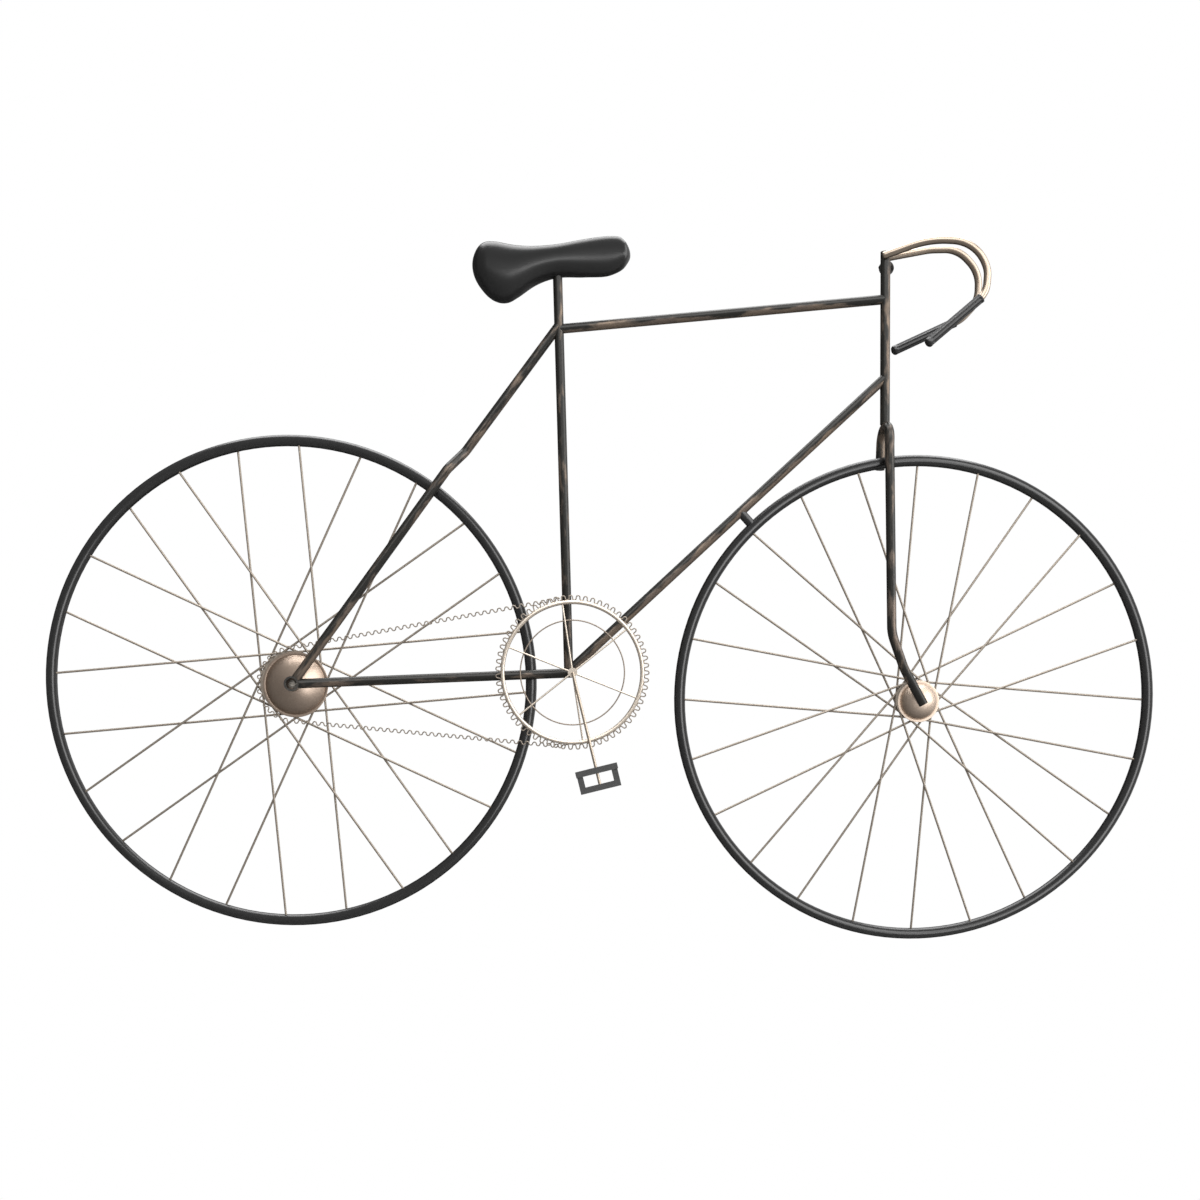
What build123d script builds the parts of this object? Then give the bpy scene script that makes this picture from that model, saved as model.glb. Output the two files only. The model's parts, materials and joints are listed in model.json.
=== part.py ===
"""Wall-hung bicycle sculpture of welded rod and wire, one side in relief.

The frame is bent and fish-mouthed steel rod, the tyres are plain rod rings, the spokes are two
layers of straight wire, and the chain and the chainring's teeth are one kind of zigzag wire.
Everything is welded: nothing turns. It hangs by two eyes behind the head tube and the saddle.

Millimetres. +X is forward, +Z is up, -Y faces the viewer and +Y the wall. Places are measured
from the rear wheel's centre, and at() turns them into the part's own frame, whose origin is the
hole of the head eye.
"""

import os
from math import asin, atan2, cos, degrees, hypot, pi, radians, sin

from build123d import *

os.makedirs("parts", exist_ok=True)

# Driving sizes
WHEEL_R = 215.0  # rod ring, to the middle of the rod
TYRE_ROD_R = 5.0
WHEELBASE = 2.6271 * WHEEL_R
FRAME_ROD_R = 4.2
HEAD_ROD_R = 4.35
STUB_R = 4.1
BAR_R = 3.3
SPOKE_R = 1.0
WIRE = 1.2  # chain, teeth and the chainring's thin wires
WALL_Y = 22.0  # the wall's surface, behind the wheel plane

# Hanging eyes, with the hole's place from the rear wheel's centre
HEAD_EYE = (528.5, WALL_Y, 390.4)
SADDLE_EYE = (234.5, WALL_Y, 381.0)
EYE_R = 6.7
EYE_HOLE_R = 2.5
EYE_THICK = 2.0
EYE_STEM_R = 2.2
EYE_STEM_SET = 5.3  # the stem stands beside the hole

# Hub caps sit a little off the wheels' centres, as they were welded
HUB_SET_X, HUB_SET_Z = 3.1, -1.7
RIM_Y = -3.0  # the caps' rims, in front of the spokes
SPOKE_LAYER_Y = 1.2  # the two layers of spokes, either side of the wheel plane
SPOKES_PER_LAYER = 12
BAND_THICK = 3.0
CAP_SHEET = 1.5
CAP_LIP = 6.0
AXLE_TUBE_R = 6.6
AXLE_TUBE_BORE = 4.9
AXLE_TUBE_Y = (-27.6, -16.0)
STAY_END_Y = -22.0
SCREW_R = 3.7
SCREW_Y = -19.8
SCREW_BEVEL = (1.1, 1.6)
SCREW_SLOT = (1.0, 1.1)  # width, depth

# Bottom bracket and chainring
BB_X, BB_Z = 251.6, 15.2
PIN_R = 3.0
RING_Y = -18.4
RING_R = 62.5
RING_WIRE_R = 1.85
INNER_RING_R = 46.6
RING_HUB_R = 4.2
RING_HUB_THICK = 3.2
RING_ARM_R = 0.8
RING_ARM_ANGLES = [40, 100, 160, 220, 280, 340]
TEETH = 63
TOOTH_MID_R = 66.4
TOOTH_HALF_HEIGHT = 2.05
CHAIN_HALF_HEIGHT = 1.45
WAVE_FLAT = 0.32  # share of each pitch that a crest's flat takes
CHAIN_HUB_R = 33.0
CHAIN_HUB_Y = -5.6
CHAIN_RING_Y = RING_Y + WIRE

# Crank and pedal
CRANK_R = 1.35
CRANK_Y = -21.65
CRANK_LENGTH = 105.0
CRANK_ANGLE = -74.75
PEDAL_AT = 97.6  # along the crank
PEDAL_SIZE = (37.0, 20.8)
PEDAL_WINDOW = (26.5, 10.0)
PEDAL_THICK = 5.0
PEDAL_TOP_BAR = (38.4, 5.4, 1.2)  # it lies on the frame's front and stands out at both ends

# Grips
GRIP_R = 4.3
GRIP_FLUTES = 8
FLUTE_R = 1.2
GRIP_LENGTH = 60.0
GRIP_CAP = 3.0


def at(x, y, z):
    """A place measured from the rear wheel's centre, in the part's frame."""
    return Vector(x - HEAD_EYE[0], y - HEAD_EYE[1], z - HEAD_EYE[2])


def facing_viewer(x, y, z):
    """A sketch plane parallel to the wall: local x is +X, local y is +Z and it looks to -Y."""
    return Plane(origin=at(x, y, z), x_dir=(1, 0, 0), z_dir=(0, -1, 0))


made = {}


def finish(part, name):
    """Label one sub-part, keep it by its name and write its file."""
    part.label = name
    made[name] = part
    export_step(part, f"parts/{name}.step")


def rod(path, radius, corner_radii=()):
    """A round rod along straight runs, with one bend radius for each inner corner."""
    points = [at(*place) for place in path]
    with BuildPart() as bent:
        with BuildLine() as line:
            if corner_radii:
                FilletPolyline(*points, radius=list(corner_radii))
            else:
                Line(*points)
        with BuildSketch(Plane(origin=points[0], z_dir=points[1] - points[0])):
            Circle(radius)
        sweep(path=line.line)
    return bent.part


def less(part, *others):
    """A rod cut back to the pieces that it is welded to."""
    with BuildPart() as cut:
        add(part)
        for other in others:
            add(other, mode=Mode.SUBTRACT)
    return cut.part


def ring(x, y, z, radius, wire_radius):
    """A ring of round rod parallel to the wall."""
    centre = at(x, y, z)
    with BuildPart() as made:
        with BuildSketch(Plane.XY.offset(centre.Z)):
            with Locations((centre.X + radius, centre.Y)):
                Circle(wire_radius)
        revolve(axis=Axis(centre, (0, 1, 0)))
    return made.part


def zigzag(points_and_normals, half_height, closed):
    """The outline of a flat zigzag wire: every crest has a flat, so a pitch has four points."""
    half = WIRE / 2
    middle = [place + side * half_height * sign for place, side, sign in points_and_normals]
    count = len(middle)
    left, right = [], []
    for i, here in enumerate(middle):
        before = middle[i - 1] if i or closed else here
        after = middle[(i + 1) % count] if i < count - 1 or closed else here
        into = (here - before).normalized() if before != here else (after - here).normalized()
        out = (after - here).normalized() if after != here else into
        bisector = Vector(-into.Y - out.Y, into.X + out.X).normalized()
        reach = half / max(bisector.dot(Vector(-into.Y, into.X)), 0.5)
        left.append(here + bisector * reach)
        right.append(here - bisector * reach)
    return left, right


def wave_places(pitches, place_at):
    """Four points for each pitch, as (place, side, sign), by a function of the pitch count."""
    steps = []
    for k in range(pitches):
        for share, sign in ((0, 1), (WAVE_FLAT, 1), (0.5, -1), (0.5 + WAVE_FLAT, -1)):
            steps.append((*place_at(k + share), sign))
    return steps


# Wheels: a rod ring, a hub band that carries two layers of spokes, and a domed cap
WHEELS = [
    # name, centre x, band radius, foot angle of the front and back layers, cap radius, cap height
    ("rear", 0.0, 27.2, 6.6, 6.7, 29.4, 14.0),
    ("front", WHEELBASE, 16.6, 21.0, 27.0, 19.0, 14.0),
]
for wheel, centre_x, band_r, front_foot, back_foot, cap_r, cap_height in WHEELS:
    finish(ring(centre_x, 0, 0, WHEEL_R, TYRE_ROD_R), f"{wheel}_tyre")

    spoke_length = (WHEEL_R**2 - band_r**2) ** 0.5
    with BuildPart() as spokes:
        with BuildSketch(facing_viewer(centre_x, 0, 0)):
            Circle(band_r + BAND_THICK / 2)
            Circle(band_r - BAND_THICK / 2, mode=Mode.SUBTRACT)
        extrude(amount=-RIM_Y, both=True)
        for layer_y, foot, way in ((-SPOKE_LAYER_Y, front_foot, 90), (SPOKE_LAYER_Y, back_foot, -90)):
            for k in range(SPOKES_PER_LAYER):
                angle = radians(foot + k * 360 / SPOKES_PER_LAYER)
                along = angle + radians(way)
                start = at(centre_x + band_r * cos(angle), layer_y, band_r * sin(angle))
                with BuildSketch(Plane(origin=start, z_dir=(cos(along), 0, sin(along)))):
                    Circle(SPOKE_R)
                extrude(amount=spoke_length)
        add(made[f"{wheel}_tyre"], mode=Mode.SUBTRACT)
    finish(spokes.part, f"{wheel}_spokes")

    cap_centre = at(centre_x + HUB_SET_X, RIM_Y, HUB_SET_Z)
    with BuildPart() as cap:
        with BuildSketch(Plane.XY.offset(cap_centre.Z)):
            with BuildLine(Location((cap_centre.X, cap_centre.Y))):
                ball_r = (cap_r**2 + cap_height**2) / (2 * cap_height)
                ball_y = ball_r - cap_height
                inside_r = ball_r - CAP_SHEET
                inside_edge = (inside_r**2 - (ball_y + CAP_SHEET) ** 2) ** 0.5
                Polyline(
                    (0, CAP_SHEET - cap_height),
                    (0, -cap_height),
                )
                RadiusArc((0, -cap_height), (cap_r, 0), -ball_r)
                Polyline(
                    (cap_r, 0),
                    (inside_edge - CAP_LIP, 0),
                    (inside_edge - CAP_LIP, -CAP_SHEET),
                    (inside_edge, -CAP_SHEET),
                )
                RadiusArc((inside_edge, -CAP_SHEET), (0, CAP_SHEET - cap_height), inside_r)
            make_face()
        revolve(axis=Axis(cap_centre, (0, 1, 0)))
    finish(cap.part, f"{wheel}_hub_cap")

# The rear axle's open tube on the cap, with a slotted round-head screw at its bottom
hub_x, hub_z = HUB_SET_X, HUB_SET_Z
with BuildPart() as axle_tube:
    with BuildSketch(facing_viewer(hub_x, AXLE_TUBE_Y[1], hub_z)):
        Circle(AXLE_TUBE_R)
        Circle(AXLE_TUBE_BORE, mode=Mode.SUBTRACT)
    extrude(amount=AXLE_TUBE_Y[1] - AXLE_TUBE_Y[0])
    add(made["rear_hub_cap"], mode=Mode.SUBTRACT)
finish(axle_tube.part, "axle_tube")

with BuildPart() as axle_screw:
    with BuildSketch(facing_viewer(hub_x, AXLE_TUBE_Y[1], hub_z)):
        Circle(SCREW_R)
    extrude(amount=AXLE_TUBE_Y[1] - SCREW_Y)
    head_edge = axle_screw.faces().sort_by(Axis.Y)[0].edges()
    chamfer(head_edge, length=SCREW_BEVEL[0], length2=SCREW_BEVEL[1])
    with BuildSketch(facing_viewer(hub_x, SCREW_Y, hub_z)):
        Rectangle(3 * SCREW_R, SCREW_SLOT[0])
    extrude(amount=-SCREW_SLOT[1], mode=Mode.SUBTRACT)
    add(made["rear_hub_cap"], mode=Mode.SUBTRACT)
finish(axle_screw.part, "axle_screw")

# Bottom bracket pin, through the rod ends that meet there
with BuildPart() as bb_pin:
    with BuildSketch(facing_viewer(BB_X, FRAME_ROD_R, BB_Z)):
        Circle(PIN_R)
    extrude(amount=FRAME_ROD_R - RING_Y - WIRE)
finish(bb_pin.part, "bottom_bracket_pin")

# The axle tube's outside, which the stays are cut to
with BuildPart() as axle_tube_outside:
    with BuildSketch(facing_viewer(hub_x, AXLE_TUBE_Y[1], hub_z)):
        Circle(AXLE_TUBE_R)
    extrude(amount=AXLE_TUBE_Y[1] - AXLE_TUBE_Y[0])
made["axle_tube_outside"] = axle_tube_outside.part

# Frame: straight and bent rods, each fish-mouthed to those that it is welded to. The fork is bent
# over the tyre and its short leg ends behind it. Both stays pass in front of the rear tyre.
FORK = [
    (528.2, 14, 208),
    (528.2, 14, 244.2),
    (529.6, -14, 244.2),
    (529.8, -14.2, 226),
    (537.3, -18.8, 58),
    (549.3, -19.6, 27),
    (568.4, -20.0, -4.9),
]
HEAD_TUBE = [(522.5, 0, 398.0), (528.0, 0, 246.0)]
SEAT_TUBE = [(248.7, 0, 14.0), (228.8, 0, 384.0)]
TOP_TUBE = [(233.4, 0, 320.7), (523.4, 0, 356.4)]
DOWN_TUBE = [(250.5, 0, 18.8), (526.2, 0, 287.1)]
TYRE_STUB = [(399.8, 0, 164.2), (412.1, 0, 151.5)]
CHAIN_STAY = [(BB_X, -9.0, BB_Z), (hub_x, STAY_END_Y, hub_z)]
SEAT_STAY = [(231.8, 0, 323.4), (151.0, 0, 209.8), (136.0, -9.8, 192.6), (hub_x, STAY_END_Y, hub_z)]
RODS = [
    # node, route, radius, bend radii, pieces that it is cut back to
    ("fork", FORK, FRAME_ROD_R, (13.7, 13.7, 40, 40, 60), ("front_hub_cap",)),
    ("head_tube", HEAD_TUBE, HEAD_ROD_R, (), ("fork",)),
    ("seat_tube", SEAT_TUBE, FRAME_ROD_R, (), ("bottom_bracket_pin",)),
    ("top_tube", TOP_TUBE, FRAME_ROD_R, (), ("seat_tube", "head_tube")),
    ("down_tube", DOWN_TUBE, FRAME_ROD_R, (), ("head_tube", "seat_tube", "bottom_bracket_pin")),
    ("tyre_stub", TYRE_STUB, STUB_R, (), ("down_tube", "front_tyre")),
    (
        "chain_stay",
        CHAIN_STAY,
        FRAME_ROD_R,
        (),
        ("bottom_bracket_pin", "axle_tube_outside", "rear_hub_cap", "seat_tube", "down_tube"),
    ),
    (
        "seat_stay",
        SEAT_STAY,
        FRAME_ROD_R,
        (12, 12),
        ("seat_tube", "axle_tube_outside", "chain_stay", "rear_hub_cap"),
    ),
]
for node, route, radius, bend_radii, carriers in RODS:
    finish(less(rod(route, radius, bend_radii), *(made[name] for name in carriers)), node)

# Handlebars: two bent rods from the head tube's top, the near one and the one towards the wall
BARS = {
    # side: path, bend radii
    "near": (
        [
            (520.4, -5, 393.3),
            (557.5, -18, 404.8),
            (597.3, -24.5, 402.0),
            (608.3, -25.8, 377.2),
            (607.5, -26, 357.0),
            (558.3, -26, 313.1),
        ],
        (84, 33, 24.5, 22),
    ),
    "far": (
        [
            (522.6, 2, 393.3),
            (564, 7, 403.7),
            (590.5, 10.5, 406.2),
            (610.7, 11.5, 386.8),
            (611.2, 12, 361.5),
            (596.5, 12, 344.5),
            (537, 12, 315.1),
        ],
        (74, 27.5, 28.5, 25, 28),
    ),
}
bars = []
for side, (path, radii) in BARS.items():
    bars.append(less(rod(path, BAR_R, radii), made["head_tube"], *bars))
    finish(bars[-1], f"handlebar_{side}")

    tip, knee = at(*path[-1]), at(*path[-2])
    with BuildPart() as grip:
        with BuildSketch(Plane(origin=tip, z_dir=knee - tip)):
            Circle(GRIP_R)
            with PolarLocations(GRIP_R + FLUTE_R / 2, GRIP_FLUTES):
                Circle(FLUTE_R, mode=Mode.SUBTRACT)
        extrude(amount=GRIP_LENGTH)
        with BuildSketch(Plane(origin=tip, z_dir=tip - knee)):
            Circle(GRIP_R)
        extrude(amount=GRIP_CAP, taper=25)
        add(bars[-1], mode=Mode.SUBTRACT)
    finish(grip.part, f"grip_{side}")

# Chainring: a rod ring, a thin inner ring, six wires from a small disc, and the toothed wire
main_ring = ring(BB_X, RING_Y, BB_Z, RING_R, RING_WIRE_R)
finish(main_ring, "chainring")
inner_ring = ring(BB_X, RING_Y + WIRE, BB_Z, INNER_RING_R, WIRE / 2)
with BuildPart() as ring_arms:
    with BuildSketch(facing_viewer(BB_X, RING_Y + WIRE, BB_Z)):
        Circle(RING_HUB_R)
    extrude(amount=RING_HUB_THICK)
    for angle in RING_ARM_ANGLES:
        along = (cos(radians(angle)), 0, sin(radians(angle)))
        with BuildSketch(Plane(origin=at(BB_X, RING_Y, BB_Z), z_dir=along)):
            Circle(RING_ARM_R)
        extrude(amount=RING_R)
    add(main_ring, mode=Mode.SUBTRACT)
finish(ring_arms.part, "chainring_arms")
finish(less(inner_ring, ring_arms.part), "chainring_inner_ring")


def round_bb(pitch_count):
    """A place on the tooth circle and its outward side, in the chainring's plane."""
    angle = 2 * pi * pitch_count / TEETH
    side = Vector(cos(angle), sin(angle))
    return side * TOOTH_MID_R, side


left, right = zigzag(wave_places(TEETH, round_bb), TOOTH_HALF_HEIGHT, closed=True)
with BuildPart() as teeth:
    with BuildSketch(facing_viewer(BB_X, RING_Y + WIRE / 2, BB_Z)):
        with BuildLine():
            Polyline(*right, close=True)
        make_face()
        with BuildLine():
            Polyline(*left, close=True)
        make_face(mode=Mode.SUBTRACT)
    extrude(amount=WIRE)
    add(main_ring, mode=Mode.SUBTRACT)
finish(teeth.part, "chainring_teeth")

# Chain: the same zigzag in one leaning plane, from the teeth round the rear hub and back
hub_y_slope = (CHAIN_RING_Y - CHAIN_HUB_Y) / (BB_X - hub_x)
lean = hypot(1, hub_y_slope)
chain_plane = Plane(
    origin=at(hub_x, CHAIN_HUB_Y, hub_z),
    x_dir=(1, hub_y_slope, 0),
    z_dir=(hub_y_slope, -1, 0),
)
ring_away = Vector((BB_X - hub_x) * lean, BB_Z - hub_z)
line_angle = atan2(ring_away.Y, ring_away.X)
spread = asin((TOOTH_MID_R - CHAIN_HUB_R) / ring_away.length)
upper, lower = line_angle + pi / 2 + spread, line_angle - pi / 2 - spread
run = (ring_away.length**2 - (TOOTH_MID_R - CHAIN_HUB_R) ** 2) ** 0.5
wrap = 2 * pi - (upper - lower)
PITCH = 2 * pi * TOOTH_MID_R / TEETH
chain_pitches = round((2 * run + CHAIN_HUB_R * wrap) / PITCH)
chain_pitch = (2 * run + CHAIN_HUB_R * wrap) / chain_pitches


def along_chain(pitch_count):
    """A place on the chain's line and its outward side, from the upper run's front end."""
    gone = pitch_count * chain_pitch
    if gone < run:
        side = Vector(cos(upper), sin(upper))
        return ring_away + side * TOOTH_MID_R + side.rotate(Axis.Z, 90) * gone, side
    gone -= run
    if gone < CHAIN_HUB_R * wrap:
        angle = upper + gone / CHAIN_HUB_R
        side = Vector(cos(angle), sin(angle))
        return side * CHAIN_HUB_R, side
    gone -= CHAIN_HUB_R * wrap
    side = Vector(cos(lower), sin(lower))
    return side * CHAIN_HUB_R + side.rotate(Axis.Z, 90) * gone, side


left, right = zigzag(wave_places(chain_pitches, along_chain), CHAIN_HALF_HEIGHT, closed=False)
with BuildPart() as chain:
    with BuildSketch(chain_plane.offset(-WIRE / 2)):
        with BuildLine():
            Polyline(*left, *reversed(right), close=True)
        make_face()
    extrude(amount=WIRE)
finish(chain.part, "chain")

# Crank rod on the disc's front, and the flat pedal frame that it runs through
crank_way = (cos(radians(CRANK_ANGLE)), sin(radians(CRANK_ANGLE)))
crank_end = (BB_X + CRANK_LENGTH * crank_way[0], CRANK_Y, BB_Z + CRANK_LENGTH * crank_way[1])
crank = less(rod([(BB_X, CRANK_Y, BB_Z), crank_end], CRANK_R), ring_arms.part)
finish(crank, "crank")
pedal_x, pedal_z = BB_X + PEDAL_AT * crank_way[0], BB_Z + PEDAL_AT * crank_way[1]
with BuildPart() as pedal:
    with BuildSketch(facing_viewer(pedal_x, CRANK_Y, pedal_z)):
        Rectangle(*PEDAL_SIZE, rotation=CRANK_ANGLE + 90)
        Rectangle(*PEDAL_WINDOW, rotation=CRANK_ANGLE + 90, mode=Mode.SUBTRACT)
    extrude(amount=PEDAL_THICK / 2, both=True)
    rise = (PEDAL_SIZE[1] - PEDAL_TOP_BAR[1]) / 2
    top_bar_x, top_bar_z = pedal_x - rise * crank_way[0], pedal_z - rise * crank_way[1]
    with BuildSketch(facing_viewer(top_bar_x, CRANK_Y, top_bar_z)):
        Rectangle(PEDAL_TOP_BAR[0], PEDAL_TOP_BAR[1], rotation=CRANK_ANGLE + 90)
    extrude(amount=PEDAL_THICK / 2 + PEDAL_TOP_BAR[2])
    add(crank, mode=Mode.SUBTRACT)
finish(pedal.part, "pedal")

# Hanging eyes: a drilled disc at the wall on a short stem from the rod's back
EYES = [
    # node, hole's place, rods that its stem is welded to
    ("head_eye", HEAD_EYE, ("head_tube", "handlebar_far")),
    ("saddle_eye", SADDLE_EYE, ("seat_tube",)),
]
for name, (eye_x, eye_y, eye_z), carriers in EYES:
    with BuildPart() as eye:
        with BuildSketch(facing_viewer(eye_x, eye_y, eye_z)):
            Circle(EYE_R)
        extrude(amount=EYE_THICK)
        with BuildSketch(facing_viewer(eye_x - EYE_STEM_SET, eye_y - EYE_THICK, eye_z)):
            Circle(EYE_STEM_R)
        extrude(amount=eye_y - EYE_THICK)
        with BuildSketch(facing_viewer(eye_x, eye_y, eye_z)):
            Circle(EYE_HOLE_R)
        extrude(amount=EYE_THICK, mode=Mode.SUBTRACT)
        for carrier in carriers:
            add(made[carrier], mode=Mode.SUBTRACT)
    finish(eye.part, name)

# Saddle: upright slices with rounded corners, full at the rear and slim at the nose
SADDLE = [
    # place along, top, bottom, half width
    (154.6, 378.0, 367.5, 5.0),
    (157.5, 385.6, 360.3, 10.5),
    (162.0, 390.2, 353.8, 14.6),
    (169.0, 392.3, 346.7, 17.6),
    (181.0, 391.5, 341.8, 18.6),
    (195.0, 389.6, 347.3, 18.3),
    (210.0, 389.3, 358.0, 17.0),
    (227.0, 391.3, 364.9, 14.6),
    (250.0, 396.4, 366.6, 12.0),
    (272.0, 400.5, 368.0, 10.4),
    (283.0, 400.4, 371.6, 9.0),
    (289.5, 396.6, 376.2, 6.4),
    (293.4, 390.2, 382.4, 2.8),
]
SADDLE_ROUNDING = 0.8  # of each slice's smaller half size
with BuildPart() as saddle:
    for along, top, bottom, half_width in SADDLE:
        slice_centre = at(along, 0, (top + bottom) / 2)
        with BuildSketch(Plane(origin=slice_centre, x_dir=(0, 1, 0), z_dir=(1, 0, 0))):
            half_size = min(half_width, (top - bottom) / 2)
            RectangleRounded(2 * half_width, top - bottom, SADDLE_ROUNDING * half_size)
    loft(ruled=True)
    add(made["seat_tube"], mode=Mode.SUBTRACT)
    add(made["saddle_eye"], mode=Mode.SUBTRACT)
finish(saddle.part, "saddle")
print("chain pitches", chain_pitches, "pitch", round(chain_pitch, 3), "wrap", round(degrees(wrap), 1))
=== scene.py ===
"""Finishes, soft forms, light and camera for a wall-hung bicycle of welded rod and wire.

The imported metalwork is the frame. This script gives every rod, ring and wire its real finish,
makes the pieces whose look needs a finer surface (round wave wires, bent bars, fluted grips,
spun hub caps and the padded saddle), and sets a white studio round them.

Lengths in dataclass fields are millimetres unless their name or comment says otherwise. X is
forward, Z is up, -Y faces the viewer, and the origin is the hole of the eye that it hangs by.
"""

import json
import logging
import math
from dataclasses import dataclass, replace
from enum import Enum

import bpy
import numpy as np
from mathutils import Matrix, Vector

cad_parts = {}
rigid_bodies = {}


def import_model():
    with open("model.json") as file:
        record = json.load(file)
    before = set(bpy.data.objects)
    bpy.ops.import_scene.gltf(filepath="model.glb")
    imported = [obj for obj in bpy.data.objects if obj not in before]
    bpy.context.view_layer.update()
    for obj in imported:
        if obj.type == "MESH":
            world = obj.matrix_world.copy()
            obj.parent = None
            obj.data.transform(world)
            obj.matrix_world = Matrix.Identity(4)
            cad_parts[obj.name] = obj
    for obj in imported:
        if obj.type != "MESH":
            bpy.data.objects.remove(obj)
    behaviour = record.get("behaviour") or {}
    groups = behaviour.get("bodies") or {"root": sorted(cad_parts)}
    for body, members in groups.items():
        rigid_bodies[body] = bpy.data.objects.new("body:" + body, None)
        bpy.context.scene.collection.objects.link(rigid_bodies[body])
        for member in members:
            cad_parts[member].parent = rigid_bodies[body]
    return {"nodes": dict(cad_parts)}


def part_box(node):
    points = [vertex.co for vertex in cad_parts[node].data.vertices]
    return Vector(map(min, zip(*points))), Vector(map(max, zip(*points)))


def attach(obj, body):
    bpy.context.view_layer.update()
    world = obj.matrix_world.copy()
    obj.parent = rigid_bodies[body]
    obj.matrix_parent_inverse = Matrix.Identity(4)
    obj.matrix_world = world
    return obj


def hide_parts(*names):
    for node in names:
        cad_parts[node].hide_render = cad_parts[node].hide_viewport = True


log = logging.getLogger("bicycle")

MM = 0.001
TO_WALL = np.array([0.0, 1.0, 0.0])
REAR_HUB = np.array([-528.5, -22.0, -390.4])  # the rear wheel's centre, from the head eye's hole
ARC_FINENESS = 8  # points on a bend's arc for each point that is kept
END_RINGS = 6  # rings that round a tube's end
END_TURNS_DEG = (89.5, 15.0)  # where the first and last of them stand on the quarter round
END_BULGE = 0.5  # how far a tube's end bulges, as a share of its radius
TYRES = ("front_tyre", "rear_tyre")
NO_HIGH_BOX = ("saddle_pad", "rear_spun_cap", "front_spun_cap", *TYRES)  # dark on top in the photo

# Inputs by number, for the two kinds of node on which inputs share their names.
FROM_LOW, FROM_HIGH, TO_LOW, TO_HIGH = 1, 2, 3, 4  # Map Range
LEVEL_A, LEVEL_B, COLOUR_A, COLOUR_B = 2, 3, 6, 7  # Mix

Tree, Node, Piece = bpy.types.NodeTree, bpy.types.Node, bpy.types.Object
Point = tuple[float, float, float]
Pairs = tuple[tuple[float, float], ...]


class Slot(Enum):
    """The record's material slots for the pieces that are made here."""

    CHAMPAGNE = "champagne_bronze"
    HUB = "hub_bronze"
    WIRE = "taupe_wire"
    GRIP = "grip"
    SADDLE = "saddle"


def linear(hex_colour: str) -> tuple[float, float, float, float]:
    """Turns an sRGB hex colour into the linear RGBA that shaders use.

    Args:
        hex_colour: Six hex digits after a hash sign.

    Returns:
        Red, green, blue and an alpha of one.
    """
    parts = [int(hex_colour[i : i + 2], 16) / 255 for i in (1, 3, 5)]
    shades = [c / 12.92 if c <= 0.04045 else ((c + 0.055) / 1.055) ** 2.4 for c in parts]
    return (*shades, 1.0)


def per_metre(size_mm: float) -> float:
    """The texture scale at which one feature is size_mm long."""
    return 1.0 / (size_mm * MM)


def add_node(tree: Tree, kind: str, inputs: dict | None = None, **settings: str) -> Node:
    """Adds one shader node with its settings and links.

    Args:
        tree: The node tree that gets the node.
        kind: Blender's type name of the node, without its ShaderNode.
        inputs: For an input's name or number, its value or what feeds it: an output socket, or
            a node for that node's first output.
        settings: Values for the node's own properties.

    Returns:
        The new node.
    """
    made = tree.nodes.new(f"ShaderNode{kind}")
    for key, value in settings.items():
        setattr(made, key, value)
    for key, value in (inputs or {}).items():
        source = value.outputs[0] if isinstance(value, Node) else value
        if isinstance(source, bpy.types.NodeSocket):
            tree.links.new(source, made.inputs[key])
        else:
            made.inputs[key].default_value = source
    return made


def set_ramp(node: Node, *stops: tuple[float, float | str]) -> None:
    """Gives a colour ramp its stops.

    Args:
        node: The ramp's node.
        stops: Each stop's place, and a hex colour or a level of grey, from left to right.
    """
    elements = node.color_ramp.elements
    while len(elements) < len(stops):
        elements.new(0.5)
    for element, (place, shade) in zip(elements, stops, strict=True):
        element.position = place
        element.color = linear(shade) if isinstance(shade, str) else (shade, shade, shade, 1.0)


@dataclass(frozen=True)
class Finish:
    """A surface finish. Each kind says what feeds the Principled shader."""

    name: str

    def material(self) -> bpy.types.Material:
        """Makes the material once, under the finish's name.

        Returns:
            The new material, or the one that was made before under this name.
        """
        known = bpy.data.materials.get(self.name)
        if known is not None:
            return known
        made = bpy.data.materials.new(self.name)
        made.use_nodes = True
        tree = made.node_tree
        tree.nodes.clear()
        shader = add_node(tree, "BsdfPrincipled", self.shading(tree))
        add_node(tree, "OutputMaterial", {"Surface": shader})
        return made

    def shading(self, tree: Tree) -> dict:
        """Adds the finish's pattern.

        Args:
            tree: The material's node tree.

        Returns:
            What feeds the Principled shader, by input.
        """
        raise NotImplementedError

    def dress(self, piece: Piece) -> None:
        """Puts this finish alone on a piece."""
        piece.data.materials.clear()
        piece.data.materials.append(self.material())


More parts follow.
